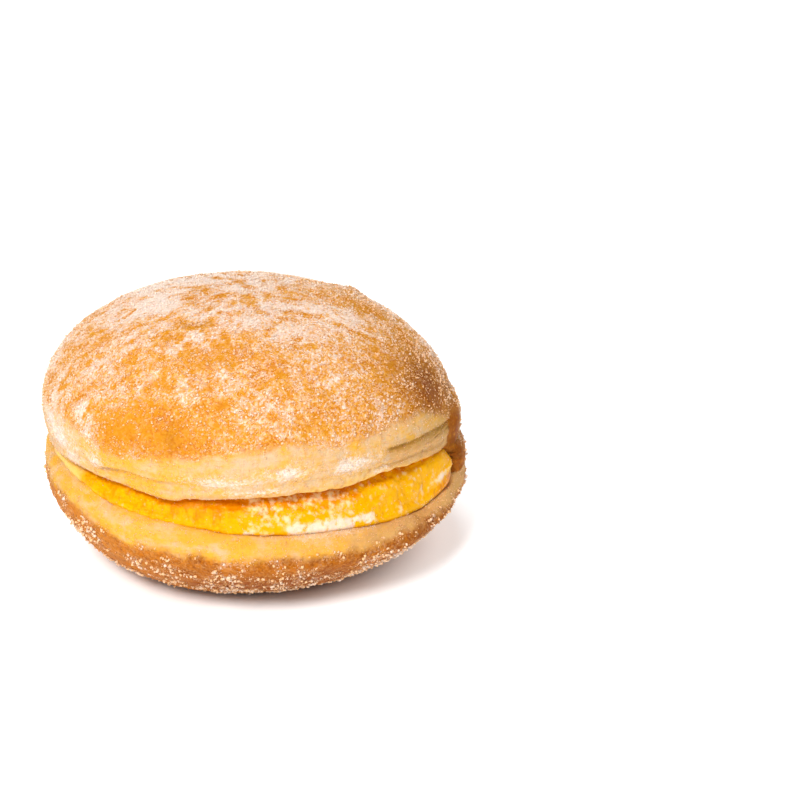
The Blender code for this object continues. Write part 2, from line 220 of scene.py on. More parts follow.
class DoughSettings(bpy.types.PropertyGroup):
    golden: colour_setting("Golden crust", "The lighter tone of the top crust", (0.60, 0.230, 0.010))
    toasted: colour_setting("Toasted crust", "The darker tone of the top crust", (0.50, 0.135, 0.009))
    # The lower crust's tones are darker than the top's partly as painted shade, for crust that faces the
    # table
    underside: colour_setting("Lower crust", "The lighter tone of the lower crust", (0.52, 0.16, 0.010))
    underside_dark: colour_setting(
        "Dark lower crust", "The darker tone of the lower crust", (0.22, 0.048, 0.004)
    )
    pale: colour_setting("Pale ring", "The unbrowned ring where it is palest", (0.67, 0.45, 0.265))
    buttery: colour_setting("Buttery ring", "The unbrowned ring where it is yellowest", (0.76, 0.38, 0.035))
    tan: colour_setting("Tan band", "The unbrowned ring where it is darkest", (0.63, 0.335, 0.115))
    lumps: length_setting("Lumps", "Height of the broad lumps in the skin", 0.30 * MM)
    wrinkles: length_setting("Wrinkles", "Height of the fine wrinkles in the crust", 0.12 * MM)
    crust_step: length_setting("Crust step", "How far the crust stands out over the pale ring", 0.30 * MM)
    fold_depth: length_setting("Fold depth", "Depth of the folds in the pale ring", 0.9 * MM)


class CustardSettings(bpy.types.PropertyGroup):
    yolk: colour_setting("Yolk yellow", "The lighter tone of the custard", (0.87, 0.41, 0.0))
    # This darker tone serves both the custard's random mottling and its painted shade
    amber_and_shade: colour_setting("Amber", "The tone of the custard in its hollows", (0.72, 0.22, 0.0))
    curds: length_setting("Curds", "Height of the soft lumps in the custard", 0.40 * MM)


class SugarSettings(bpy.types.PropertyGroup):
    tone: colour_setting("Milky sugar", "Colour of the grains where they lie thickly", (0.90, 0.76, 0.66))
    clear: colour_setting("Clear sugar", "Colour of lone grains over the crust", (0.88, 0.51, 0.23))
    coarse: length_setting("Coarse grain", "Longest side of a coarse grain", 0.42 * MM)
    fine: length_setting("Fine grain", "Longest side of a fine grain", 0.34 * MM)
    cover: bpy.props.FloatProperty(
        name="Cover", description="How thickly the grains lie", default=1.0, min=0.0, max=1.2
    )
    seed: bpy.props.IntProperty(
        name="Seed", description="Another number lays the grains another way", default=7
    )


class StageSettings(bpy.types.PropertyGroup):
    key_power: amount_setting("Key light", "Power of the soft light in front", 25.0, "POWER")
    top_power: amount_setting("Top light", "Power of the soft light above", 10.5, "POWER")
    ambient: amount_setting("Surroundings", "Brightness of the white surroundings", 0.30)
    glow: amount_setting("Floor glow", "Light through the floor, away from the bun", 0.50)
    floor: colour_setting("Floor", "Colour of the floor", (0.90, 0.94, 0.97))


# ---- Numbers over a surface ----


def ease(start, end, values):
    """0 before start, 1 after end, and a smooth ramp between them."""
    share = np.clip((values - start) / (end - start), 0.0, 1.0)
    return share * share * (3.0 - 2.0 * share)


def bell(distance, width):
    return np.exp(-((distance / width) ** 2))


def line_height(line, azimuth):
    degrees, heights = zip(*line)
    return np.interp(azimuth, degrees, heights, period=360.0)


def stretch(start, end, fade, azimuth):
    """1 between two azimuths, fading out over some degrees past them."""
    return ease(start - fade, start, azimuth) * (1.0 - ease(end, end + fade, azimuth))


def patches(points, spots):
    """How strongly soft spots of their own reach cover each point."""
    total = np.zeros(len(points))
    for middle, reach, strength in spots:
        away = np.linalg.norm((points - np.array(middle)) / np.array(reach), axis=1)
        total = np.maximum(total, strength * bell(away, 1.0))
    return total


def grain_noise(points, size, seed=0.0, octaves=2):
    """Smooth noise between about -1 and 1, with features of that size in millimetres."""
    shift = Vector((seed * 17.3, seed * -9.1, seed * 5.7))
    scaled = points / np.array(size)
    return np.array([noise.fractal(Vector(p) + shift, 0.6, 2.1, octaves) for p in scaled.tolist()])


def read_points(mesh):
    """The mesh's points in millimetres."""
    points = np.empty(len(mesh.vertices) * 3)
    mesh.vertices.foreach_get("co", points)
    return points.reshape(-1, 3) / MM


def write_points(mesh, points):
    mesh.vertices.foreach_set("co", (points * MM).astype(np.float32).ravel())
    mesh.update()


def read_normals(mesh):
    normals = np.empty(len(mesh.vertices) * 3, np.float32)
    mesh.vertices.foreach_get("normal", normals)
    return normals.reshape(-1, 3).astype(float)


def store(mesh, name, values):
    mesh.attributes.new(name, "FLOAT", "POINT").data.foreach_set("value", values.astype(np.float32))


def stored(mesh, name):
    values = np.empty(len(mesh.vertices), np.float32)
    mesh.attributes[name].data.foreach_get("value", values)
    return values.astype(float)


# ---- Modelling ----


def select_only(obj):
    bpy.ops.object.select_all(action="DESELECT")
    obj.select_set(True)
    bpy.context.view_layer.objects.active = obj


def smooth_copy(node, name, levels):
    """A new piece from a copy of a solid: its triangles made quads again, then subdivided."""
    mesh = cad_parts[node].data.copy()
    mesh.name = name
    mesh.materials.clear()
    piece = bpy.data.objects.new(name, mesh)
    bpy.context.scene.collection.objects.link(piece)
    select_only(piece)
    bpy.ops.object.mode_set(mode="EDIT")
    bpy.ops.mesh.select_all(action="SELECT")
    bpy.ops.mesh.customdata_custom_splitnormals_clear()
    bpy.ops.mesh.remove_doubles(threshold=0.01 * MM)
    bpy.ops.mesh.tris_convert_to_quads(face_threshold=math.radians(60.0), shape_threshold=math.radians(60.0))
    bpy.ops.mesh.normals_make_consistent(inside=False)
    bpy.ops.object.mode_set(mode="OBJECT")
    rounding = piece.modifiers.new("Rounding", "SUBSURF")
    rounding.levels = levels
    rounding.render_levels = levels
    bpy.ops.object.modifier_apply(modifier=rounding.name)
    bpy.ops.object.shade_smooth()
    return piece


def finish_piece(piece, node, material):
    """Gives the piece its material and hands it to the frame in place of the solid."""
    piece.data.materials.append(material)
    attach(piece, "root")
    if node:
        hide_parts(node)


def round_the_bun(points):
    azimuth = np.degrees(np.arctan2(points[:, 0], -points[:, 1]))
    return azimuth, np.hypot(points[:, 0], points[:, 1]), points[:, 2]


def shape_skin(mesh, dough):
    """Moves the skin's points: out by its relief, then up or down round the slit."""
    points, normals = read_points(mesh), read_normals(mesh)
    azimuth, radius, height = round_the_bun(points)
    moved = points + normals * skin_relief(points, normals, dough)[:, None]
    moved[:, 2] -= flap_drop(azimuth, radius, height)
    flat = points[:, 2] < ON_TABLE
    moved[:, 2] = np.where(flat, points[:, 2], np.maximum(moved[:, 2], LEAST_HEIGHT))
    from_seam = height - SEAM_HEIGHT
    shut = stretch(*SEAM, 4.5, azimuth) * bell(from_seam, 1.9) * (radius > 37.0)
    moved[:, 2] += mouth_shift(azimuth, radius, height) - 1.15 * from_seam * shut
    over_seam = by_left_end(azimuth) * bell(from_seam, 3.0) * (radius > 40.5)
    moved[:, :2] *= 1.0 + 0.025 * over_seam[:, None]
    write_points(mesh, moved)


def skin_relief(points, normals, dough):
    """How far out each point of the skin moves: lumps, wrinkles, folds and the crust's edge."""
    azimuth, radius, height = round_the_bun(points)
    inside = slit_share(points)
    above, below = crust_shares(points, azimuth, height)
    browned = np.maximum(above, below)
    rise = dough.lumps / MM * grain_noise(points, 11.0, 1.0)
    rise += dough.wrinkles / MM * grain_noise(points, 2.6, 2.0) * (0.4 + 0.6 * browned)
    rise += LOWER_GRAIN * grain_noise(points, 1.6, 3.0) * below
    rise += dough.crust_step / MM * (above - 0.5) * ease(25.0, 30.0, height)
    unrolled = np.column_stack((azimuth / 1.7, height / 9.0, 0.0 * height))
    rise += RIB_RELIEF * grain_noise(unrolled, 1.0, 4.0) * (1.0 - browned)
    rise += LAYER_RELIEF * grain_noise(points, (5.0, 5.0, 1.1), 14.0, 3) * (1.0 - browned)
    depth = dough.fold_depth / MM
    left, left_gap, right, right_gap = folds(points, azimuth, height)
    left_brow = 0.55 * ease(-0.1, 0.5, left_gap) * bell(left_gap, 2.6)
    right_brow = 0.45 * ease(-0.1, 0.6, right_gap) * bell(right_gap, 3.2)
    rise += left * depth * (left_brow - undercut(left_gap, 2.2))
    rise += right * depth * (right_brow - 0.95 * undercut(right_gap, 4.5))
    rise += patches(points, BLISTERS)
    hinge = HINGE_BULGE * stretch(82.0, 102.0, 5.0, azimuth) * stretch(22.0, 31.0, 5.0, height)
    rise += hinge * (1.0 - inside)
    tear = bell(azimuth + 42.0, 2.6) * bell(height - 23.8, 1.3)
    rise -= TEAR_DEPTH * tear
    spur = bell(azimuth + 50.5, 3.4) * bell(height - 24.6, 0.8)
    rise += SPUR_HEIGHT * spur
    roll = LIP_ROLL * bell(radius - SLIT_RADIUS, 1.2) * bell(height - line_height(LOWER_LIP, azimuth), 1.2)
    rise += roll * (normals[:, 2] > 0.0)
    rise *= 1.0 - 0.6 * inside
    return rise + CRUMB_RELIEF * grain_noise(points, 2.2, 6.0) * inside


def folds(points, azimuth, height):
    """Each fold's strength round the bun, and how far above it each point lies."""
    wander = 0.25 * grain_noise(points, 5.0, 5.0)
    left_gap = height - line_height(FOLD_LEFT, azimuth) + wander
    right_gap = height - line_height(FOLD_RIGHT, azimuth) + wander
    left = 0.65 * stretch(-43.0, -26.0, 9.0, azimuth)
    right = stretch(45.0, RING_RIGHT_END - 1.0, 4.0, azimuth)
    return left, left_gap, right, right_gap


def undercut(gap, reach):
    """Deep just below a fold's line, and shallower down to its reach."""
    under = 1.0 - ease(-0.25, 0.15, gap)
    return under * (0.35 + 0.65 * bell(gap + 0.2, 0.7)) * ease(-reach, 0.3 - 0.6 * reach, gap)


def flap_drop(azimuth, radius, height):
    """How far down the upper lip's small flap hangs."""
    past_corner = ease(-18.6, -16.8, azimuth)
    before = FLAP_DROPS[0] * ease(-31.0, -19.0, azimuth) * (1.0 - past_corner)
    after = FLAP_DROPS[1] * past_corner * (1.0 - ease(-14.0, -4.0, azimuth))
    return (before + after) * bell(height - 28.8, 1.4) * (radius > 38.5)


def by_left_end(azimuth):
    """1 at the slit's left end, fading away from it."""
    return bell(azimuth - SLIT_LEFT_END, 24.0)


def mouth_shift(azimuth, radius, height):
    """How far up the slit's lips and the custard between them move."""
    upper = UPPER_LIP_RISE * stretch(44.0, 80.0, 14.0, azimuth)
    lower = LOWER_LIP_RISE * stretch(72.0, 82.0, 14.0, azimuth)
    share = ease(20.0, 24.0, height)
    lips = ease(15.3, 18.0, height) * (1.0 - ease(28.5, 33.0, height)) * (radius > 33.0)
    from_lip = height - line_height(LOWER_LIP, azimuth) + 0.5
    left = LEFT_END_RISE * by_left_end(azimuth) * bell(from_lip, 3.0) * (radius > 38.0)
    return (lower * (1.0 - share) + upper * share) * lips + left


def slit_share(points):
    """1 on the slit's own faces, 0 on the skin."""
    _, radius, height = round_the_bun(points)
    low, high = SLIT_HEIGHTS
    between = ease(low - 1.0, low, height) * (1.0 - ease(high, high + 1.0, height))
    return between * (1.0 - ease(SLIT_RADIUS - 1.6, SLIT_RADIUS - 0.2, radius))


def crust_shares(points, azimuth, height):
    """How browned each point is, by the crust above the pale ring and by the crust below it."""
    ragged = 0.9 * grain_noise(points, 4.5, 7.0, 3)
    right_end = RING_RIGHT_END + (LIP_RIGHT_END - RING_RIGHT_END) * (1.0 - ease(19.0, 20.5, height))
    past_end = azimuth - right_end + 2.0 * ragged
    whole = 1.0 - ease(*RING_LEFT_END, azimuth + 0.8 * ragged) * (1.0 - ease(-0.5, 1.0, past_end))
    before_back = 1.0 - ease(108.0, 150.0, azimuth + 8.0 * ragged)
    closing = whole * (0.5 + 1.3 * ease(72.0, 80.0, azimuth) * before_back)
    strip = ease(-1.0, 0.6, past_end) * (1.0 - ease(98.0, 128.0, azimuth + 7.0 * ragged))
    above = height - line_height(CRUST_EDGE_ABOVE, azimuth) + ragged + 1.5 * closing
    below = line_height(CRUST_EDGE_BELOW, azimuth) - height + ragged + 1.5 * closing
    upper_strip = strip * ease(25.0, 27.0, height)
    above_share = np.maximum(ease(-1.9, 2.1, above + 1.6 * closing), upper_strip)
    return above_share, np.maximum(ease(-1.9, 1.7, below + 1.6 * closing), strip - upper_strip)


def colour_skin(mesh):
    """Stores what the dough's material reads at each point about its browning and its ring."""
    points = read_points(mesh)
    azimuth, _, height = round_the_bun(points)
    inside = slit_share(points)
    above, below = crust_shares(points, azimuth, height)
    store(mesh, "browned", np.minimum(above + below, 1.0) * (1.0 - inside))
    middle = 0.5 * (line_height(CRUST_EDGE_ABOVE, azimuth) + line_height(CRUST_EDGE_BELOW, azimuth))
    soft = 2.0 + 6.0 * stretch(80.0, 120.0, 8.0, azimuth)
    store(mesh, "lower_crust", 1.0 - ease(-soft, soft, height - middle))
    store(mesh, "slit_face", inside)
    # Scorches, and painted shade on the right and on the lower crust near the table
    store(mesh, "scorch_and_shade", patches(points, SCORCH_AND_SHADE_PATCHES))
    lower_half = 1.0 - ease(25.0, 27.0, height)
    left, left_gap, right, right_gap = folds(points, azimuth, height)
    buttery = 0.15 + 0.85 * bell(azimuth + 33.0, 20.0) + 0.25 * ease(-20.0, 10.0, azimuth) + 0.9 * lower_half
    store(mesh, "buttery", np.clip(buttery, 0.0, 1.0))
    under_fold = right * (1.0 - ease(-1.0, 0.5, right_gap))
    tanned = lower_half * ease(-5.0, 65.0, azimuth) * 1.05 + under_fold * 0.85
    store(mesh, "tanned", np.clip(tanned, 0.0, 1.0))
    # Painted shade along the folds, broad under the right one
    right_fold = right * bell(right_gap + 0.5, 1.1 + 0.8 * ease(55.0, 76.0, azimuth))
    store(mesh, "painted_fold_shade", np.maximum(0.8 * left * bell(left_gap + 0.1, 0.35), right_fold))
    smeared = inside * stretch(62.0, 80.0, 6.0, azimuth) * ease(21.5, 23.5, height)
    store(mesh, "smeared", np.maximum(smeared, patches(points, SMEARS) * (1.0 - inside)))


def frost_skin(mesh):
    """Stores how thickly sugar lies at each point, and how strongly the finest of it shows."""
    points = read_points(mesh)
    azimuth, _, height = round_the_bun(points)
    inside = slit_share(points)
    above, below = crust_shares(points, azimuth, height)
    drift = grain_noise(points, (6.0, 3.5, 5.0), 8.0, 3)
    frayed = grain_noise(points, 2.4, 15.0, 3)
    thick, clear = patches(points, BLOOM_PATCHES), patches(points, CLEAR_PATCHES)
    upper = thick * (0.65 + 0.5 * drift + 0.7 * frayed) + 0.32 + 0.25 * drift + 0.3 * frayed
    upper += 0.75 * patches(points, EVEN_PATCHES) * (0.40 + 0.3 * frayed - upper)
    upper = np.minimum(upper, 0.55 + 0.55 * thick) * (1.0 - 0.85 * clear)
    lower = 0.28 + 0.55 * grain_noise(points, 4.0, 9.0) - 0.15 * stretch(25.0, 85.0, 15.0, azimuth)
    lower -= 0.25 * stretch(-110.0, -30.0, 25.0, azimuth) + 0.12 * stretch(-15.0, 95.0, 20.0, azimuth)
    lower += 0.42 * stretch(40.0, 72.0, 12.0, azimuth) * bell(height - 8.5, 4.5)
    on_ring = patches(points, RING_PATCHES)
    ring = 0.13 + 0.35 * np.maximum(drift, 0.0) + 0.8 * on_ring
    pale = np.clip(1.0 - above - below, 0.0, 1.0)
    hinge = stretch(*BARE_HINGE, 5.0, azimuth) * stretch(20.0, 32.0, 4.0, height)
    gritty = np.clip(0.28 + above + below + on_ring, 0.0, 1.0)
    store(mesh, "gritty", gritty * (1.0 - 0.6 * inside) * (1.0 - 0.65 * clear) * (1.0 - 0.85 * hinge))
    on_crust = (upper * above + lower * below) * (1.0 - 0.9 * hinge)
    store(mesh, "bloom", np.clip(on_crust + ring * pale, 0.0, 1.2))


def shape_custard(mesh, points, custard):
    """Moves the custard's points: curds, a bulging rim, and a right end that meets the lips."""
    normals = read_normals(mesh)
    azimuth, radius, height = round_the_bun(points)
    showing = ease(*CUSTARD_FACE, radius)
    unrolled = np.column_stack((azimuth * MM_A_DEGREE, height, radius))
    rise = custard.curds / MM * grain_noise(unrolled, (5.0, 2.2, 3.0), 21.0, 2)
    rise += 0.16 * grain_noise(unrolled, (1.9, 0.9, 1.5), 22.0) + 0.05 * grain_noise(points, 0.7, 25.0)
    thick_rim = 1.0 + 0.8 * (1.0 - ease(-30.0, 0.0, azimuth)) + 0.5 * ease(5.0, 25.0, azimuth)
    rim = bell(height - line_height(LOWER_LIP, azimuth) - 0.3, 1.0) * showing * thick_rim
    rise = rise * (0.1 + 0.9 * showing) * (1.0 - 0.5 * rim) + CUSTARD_FILL + CUSTARD_RIM * rim
    moved = points + normals * rise[:, None]
    end = ease(58.0, 73.0, azimuth) * showing
    turn = np.radians(CUSTARD_END_TURN) * ease(62.0, 74.0, azimuth)
    turned_x = moved[:, 0] * np.cos(turn) - moved[:, 1] * np.sin(turn)
    turned_y = moved[:, 0] * np.sin(turn) + moved[:, 1] * np.cos(turn)
    moved[:, 0] = turned_x + CUSTARD_END_OUT * end
    moved[:, 1] = turned_y
    end_rise = CUSTARD_END_UP * end * ease(20.0, 24.0, height)
    moved[:, 2] += mouth_shift(azimuth, radius, height) + end_rise
    write_points(mesh, moved)


def sugar_and_glint_on_custard(points, azimuth, height):
    """A streak along the custard's foot, a sugared curd, a smear with a painted highlight beside it, and
    loose specks.
    """
    ragged = grain_noise(points, 2.4, 24.0, 2)
    along = azimuth + 2.0 * grain_noise(points, 3.0, 23.0)
    slope = 22.8 - 0.02 * azimuth
    streak = stretch(16.0, 38.0, 5.0, along) * bell(height - slope + 1.6 + 0.4 * ragged, 0.75)
    streak *= 1.2 + 0.9 * ragged
    curd = bell(azimuth - 67.5, 3.0) * bell(height - 20.4, 1.2)
    smear = bell(azimuth + 2.5, 2.6) * bell(height - 20.3 - 0.12 * (azimuth + 2.5), 0.45)
    # A painted highlight: a white spot on the wet custard, whitened by the sugar's colour and grains
    painted_glint = bell(azimuth - 0.3, 1.0) * bell(height - 20.9, 0.55)
    specks = stretch(4.0, 30.0, 9.0, azimuth) * np.clip(0.54 + 0.5 * ragged, 0.0, 0.76)
    specks += stretch(40.0, 62.0, 8.0, azimuth) * np.clip(0.20 + 0.4 * ragged, 0.0, 0.42)
    return np.clip(specks + 0.9 * streak + 0.9 * curd + 0.7 * smear, 0.0, 1.0) + 0.9 * painted_glint


def colour_custard(mesh, points):
    """Stores what the custard's material reads at each point."""
    azimuth, radius, height = round_the_bun(points)
    showing = ease(*CUSTARD_FACE, radius)
    # Sugar, with the painted highlight added to it
    store(mesh, "sugared", sugar_and_glint_on_custard(points, azimuth, height))
    # Painted shade under the upper lip, far inside the slit, in the notch on the left and in the crevice at
    # the right end; painted light, as negative shade, on the right and low on the front
    top = 27.3 - 0.035 * azimuth
    reach = 3.5 + 1.6 * bell(azimuth + 14.0, 22.0) - ease(30.0, 50.0, azimuth)
    under_lip = ease(-1.0, 0.0, (height - top) / reach) * (0.95 + 0.45 * bell(azimuth + 12.0, 18.0))
    painted_light = 0.35 * stretch(40.0, 66.0, 8.0, azimuth)
    painted_light += 0.8 * stretch(2.0, 38.0, 8.0, azimuth) * (1.0 - ease(22.5, 24.5, height))
    notch = bell(azimuth + 54.5, 2.6) * bell(height - 24.6, 0.8)
    crevice = ease(60.0, 69.0, azimuth) * (1.0 - ease(18.6, 20.4, height))
    painted_shade_and_light = under_lip + 0.9 * (1.0 - showing) - painted_light + 0.9 * notch + 1.2 * crevice
    store(mesh, "painted_shade_and_light", np.clip(painted_shade_and_light, -0.5, 1.3))
    crumbed = (1.0 - ease(-60.0, -52.0, azimuth)) * (1.0 - ease(-1.3, -0.3, height - top))
    store(mesh, "crumbed", crumbed)


# ---- Materials ----


def make_node(tree, kind, inputs=None, **settings):
    """A new node, with values set on its sockets or other nodes' outputs linked to them."""
    made = tree.nodes.new(kind)
    for name, value in settings.items():
        setattr(made, name, value)
    for key, value in (inputs or {}).items():
        if isinstance(value, bpy.types.NodeSocket):
            tree.links.new(value, made.inputs[key])
        else:
            made.inputs[key].default_value = value
    return made


def new_material(name):
    material = bpy.data.materials.new(name)
    material.use_nodes = True
    return material, material.node_tree, material.node_tree.nodes["Principled BSDF"]


def object_coordinates(tree):
    return make_node(tree, "ShaderNodeTexCoord").outputs["Object"]


def noise_texture(tree, where, feature, detail=3.0, roughness=0.55, stretched=None):
    """Noise with features of that size in metres."""
    if stretched:
        where = make_node(tree, "ShaderNodeMapping", {"Vector": where, "Scale": stretched}).outputs["Vector"]
    inputs = {"Vector": where, "Scale": 1.0 / feature, "Detail": detail, "Roughness": roughness}
    return make_node(tree, "ShaderNodeTexNoise", inputs).outputs["Fac"]


def spread(tree, value, low, high):
    """The value's range from low to high, spread smoothly over 0 to 1."""
    inputs = {"Value": value, "From Min": low, "From Max": high}
    return make_node(tree, "ShaderNodeMapRange", inputs, interpolation_type="SMOOTHSTEP").outputs["Result"]


def ramp(tree, share, start, end):
    """A number that goes evenly from start to end as the share goes from 0 to 1."""
    inputs = {"Value": share, "To Min": start, "To Max": end}
    return make_node(tree, "ShaderNodeMapRange", inputs).outputs["Result"]


def added(tree, total, *others):
    for value in others:
        total = make_node(tree, "ShaderNodeMath", {0: total, 1: value}, operation="ADD").outputs["Value"]
    return total


def times(tree, first, second):
    return make_node(tree, "ShaderNodeMath", {0: first, 1: second}, operation="MULTIPLY").outputs["Value"]


def swing(tree, value, amount):
    """A value about 0.5 made to swing about 0, by half that amount each way."""
    inputs = {0: value, 1: amount, 2: -0.5 * amount}
    return make_node(tree, "ShaderNodeMath", inputs, operation="MULTIPLY_ADD").outputs["Value"]


def mixed(tree, share, first, second):
    """A colour between two others."""
    whole = [(*c, 1.0) if not isinstance(c, bpy.types.NodeSocket) else c for c in (first, second)]
    return make_node(tree, "ShaderNodeMix", {0: share, 6: whole[0], 7: whole[1]}, data_type="RGBA").outputs[2]


def attribute(tree, name):
    return make_node(tree, "ShaderNodeAttribute", attribute_name=name).outputs["Fac"]


def link(tree, output, shader, name):
    tree.links.new(output, shader.inputs[name])


def let_light_in(shader, weight, reach):
    """Light spreads under the surface, by its own share of the depth for red, green and blue."""
    shader.inputs["Subsurface Weight"].default_value = weight
    shader.inputs["Subsurface Radius"].default_value = reach
    shader.inputs["Subsurface Scale"].default_value = 2.0 * MM


def roughen(tree, shader, relief, strength, depth):
    """Relief too fine for the mesh."""
    inputs = {"Height": relief, "Strength": strength, "Distance": depth}
    link(tree, make_node(tree, "ShaderNodeBump", inputs).outputs["Normal"], shader, "Normal")


def grain_cells(tree, where, size):
    """Small angular cells of that size: two random shares for each, and the distance from its middle."""
    cells = make_node(tree, "ShaderNodeTexVoronoi", {"Vector": where, "Scale": 1.0 / size})
    shares = make_node(tree, "ShaderNodeSeparateColor", {"Color": cells.outputs["Color"]}).outputs
    return shares["Red"], shares["Green"], cells.outputs["Distance"]


def crust_colour(tree, where, speckled, dust, dough):
    """Golden to toasted on the top, darker below, partly as painted shade; scorches in places, and painted
    shade in the same darkest brown.
    """
    patchy = noise_texture(tree, where, 6.0 * MM, 6.0, 0.62, (1.0, 1.5, 1.2))
    toast = added(tree, patchy, swing(tree, speckled, 0.8), swing(tree, dust, 0.9))
    toast = spread(tree, toast, 0.34, 0.84)
    top = mixed(tree, toast, tuple(dough.golden), tuple(dough.toasted))
    # Darker below, partly as painted shade
    bottom = mixed(tree, toast, tuple(dough.underside), tuple(dough.underside_dark))
    crust = mixed(tree, attribute(tree, "lower_crust"), top, bottom)
    # Scorches and painted shade, in the darkest brown
    scorch_and_shade = times(tree, attribute(tree, "scorch_and_shade"), spread(tree, speckled, 0.1, 0.55))
    return mixed(tree, scorch_and_shade, crust, SCORCH_AND_SHADE_BROWN)


def ring_colour(tree, where, fibres, layers, dough):
    """The unbrowned ring: pale, buttery or tan, streaked, with open crumb on the slit's own faces."""
    cloudy = noise_texture(tree, where, 3.4 * MM, 4.0, 0.6)
    streaks = swing(tree, fibres, 1.6), swing(tree, cloudy, 3.4), swing(tree, layers, 2.6)
    butter = added(tree, attribute(tree, "buttery"), *streaks)
    ring = mixed(tree, spread(tree, butter, -0.3, 1.4), tuple(dough.pale), tuple(dough.buttery))
    tan = added(tree, attribute(tree, "tanned"), swing(tree, fibres, 1.3), swing(tree, layers, 1.8))
    ring = mixed(tree, spread(tree, tan, 0.1, 1.1), ring, tuple(dough.tan))
    pores = make_node(tree, "ShaderNodeTexVoronoi", {"Vector": where, "Scale": 700.0}).outputs["Distance"]
    crumb = mixed(tree, spread(tree, pores, 0.1, 0.5), CRUMB_PORE, CRUMB_WALL)
    ring = mixed(tree, attribute(tree, "slit_face"), ring, crumb)
    smeared = spread(tree, added(tree, attribute(tree, "smeared"), swing(tree, cloudy, 0.8)), 0.2, 0.7)
    ring = mixed(tree, smeared, ring, CUSTARD_SMEAR)
    # Painted shade in the folds
    return mixed(tree, times(tree, attribute(tree, "painted_fold_shade"), 0.8), ring, FOLD_SHADE)


def dough_material(dough):
    """Browned crust, pale ring and crumb, with the finest sugar lying on them."""
    material, tree, shader = new_material("sugared_dough")
    where = object_coordinates(tree)
    speckled = noise_texture(tree, where, 1.3 * MM, 4.0, 0.6)
    dust = noise_texture(tree, where, 0.5 * MM, 2.0, 0.6)
    fibres = noise_texture(tree, where, 1.3 * MM, 5.0, 0.7, (1.0, 1.0, 0.35))
    layers = noise_texture(tree, where, 2.6 * MM, 4.0, 0.6, (0.4, 0.4, 1.8))
    crust = crust_colour(tree, where, speckled, dust, dough)
    ring = ring_colour(tree, where, fibres, layers, dough)
    edge = added(tree, attribute(tree, "browned"), swing(tree, speckled, 0.8))
    flesh = mixed(tree, spread(tree, edge, 0.05, 0.95), ring, crust)
    cover, tint, from_middle = grain_cells(tree, where, GRIT_CELL)
    bloom = attribute(tree, "bloom")
    lie = added(tree, times(tree, bloom, 0.62), swing(tree, cover, 0.62), swing(tree, speckled, 1.3))
    frost = times(tree, spread(tree, lie, -0.22, 0.75), attribute(tree, "gritty"))
    frost = times(tree, frost, ramp(tree, attribute(tree, "lower_crust"), 1.0, 0.58))
    milky = spread(tree, added(tree, bloom, swing(tree, tint, 0.7)), 0.10, 0.85)
    grit = mixed(tree, milky, CLEAR_GRIT, MILKY_GRIT)
    grit = mixed(tree, times(tree, attribute(tree, "lower_crust"), 0.35), grit, LOWER_GRIT)
    link(tree, mixed(tree, times(tree, frost, 0.86), flesh, grit), shader, "Base Color")
    link(tree, ramp(tree, frost, 0.5, 0.8), shader, "Roughness")
    shader.inputs["IOR"].default_value = 1.08  # so low that no grey sheen lies over the crust
    let_light_in(shader, 0.2, (1.0, 0.45, 0.18))
    domed = times(tree, frost, spread(tree, from_middle, 0.7, 0.1))
    relief = added(tree, times(tree, speckled, 0.7), times(tree, domed, 0.45))
    torn = added(tree, times(tree, fibres, 0.8), times(tree, layers, 1.6))
    crumbly = ramp(tree, attribute(tree, "browned"), 1.0, 0.3)
    roughen(tree, shader, added(tree, relief, times(tree, torn, crumbly)), 0.9, 0.4 * MM)
    return material


def custard_material(custard):
    """Set custard: translucent, wet, a darker orange under painted shade and in random mottles, with sugar
    stuck on it.
    """
    material, tree, shader = new_material("set_custard")
    where = object_coordinates(tree)
    curdled = noise_texture(tree, where, 3.0 * MM, 4.0, 0.6, (1.0, 1.0, 0.8))
    smeared = noise_texture(tree, where, 1.8 * MM, 3.0, 0.6, (1.6, 1.6, 0.35))
    fine = noise_texture(tree, where, 1.1 * MM, 3.0, 0.5)
    # Painted shade and light, with random mottling, between the two tones
    deep = added(tree, attribute(tree, "painted_shade_and_light"), swing(tree, curdled, 2.6), swing(tree, smeared, 2.2))
    colour = mixed(tree, spread(tree, deep, -0.25, 1.15), tuple(custard.yolk), tuple(custard.amber_and_shade))
    crumbed = added(tree, attribute(tree, "crumbed"), swing(tree, smeared, 0.8))
    colour = mixed(tree, spread(tree, crumbed, 0.25, 0.8), colour, CUSTARD_CRUMB)
    # Sugar whitens the custard, and so does the painted highlight
    crusted = added(tree, attribute(tree, "sugared"), swing(tree, fine, 2.4), swing(tree, smeared, 0.9))
    crusted = spread(tree, crusted, 0.34, 1.0)
    curd = mixed(tree, spread(tree, attribute(tree, "sugared"), 0.55, 1.05), THIN_SUGAR, THICK_SUGAR)
    colour = mixed(tree, times(tree, crusted, 0.85), colour, curd)
    link(tree, colour, shader, "Base Color")
    link(tree, ramp(tree, crusted, 0.22, 0.6), shader, "Roughness")
    let_light_in(shader, 0.3, (1.0, 0.6, 0.1))
    shader.inputs["Specular IOR Level"].default_value = 0.08
    roughen(tree, shader, added(tree, smeared, times(tree, fine, 0.4)), 0.6, 0.6 * MM)
    return material


def sugar_material(sugar):
    """Clear to milky grains, each its own shade, which take a little of the colour below them."""
    material, tree, shader = new_material("sugar_grain")
    where = object_coordinates(tree)
    cloudy = noise_texture(tree, where, 0.25 * MM, 1.0, 0.5)
    warm = added(tree, attribute(tree, "warmth"), swing(tree, cloudy, 0.5))
    colour = mixed(tree, spread(tree, warm, -0.1, 1.1), tuple(sugar.tone), tuple(sugar.clear))
    link(tree, colour, shader, "Base Color")
    shader.inputs["Roughness"].default_value = 0.35
    shader.inputs["Specular IOR Level"].default_value = 0.25
    return material


# ---- Sugar ----


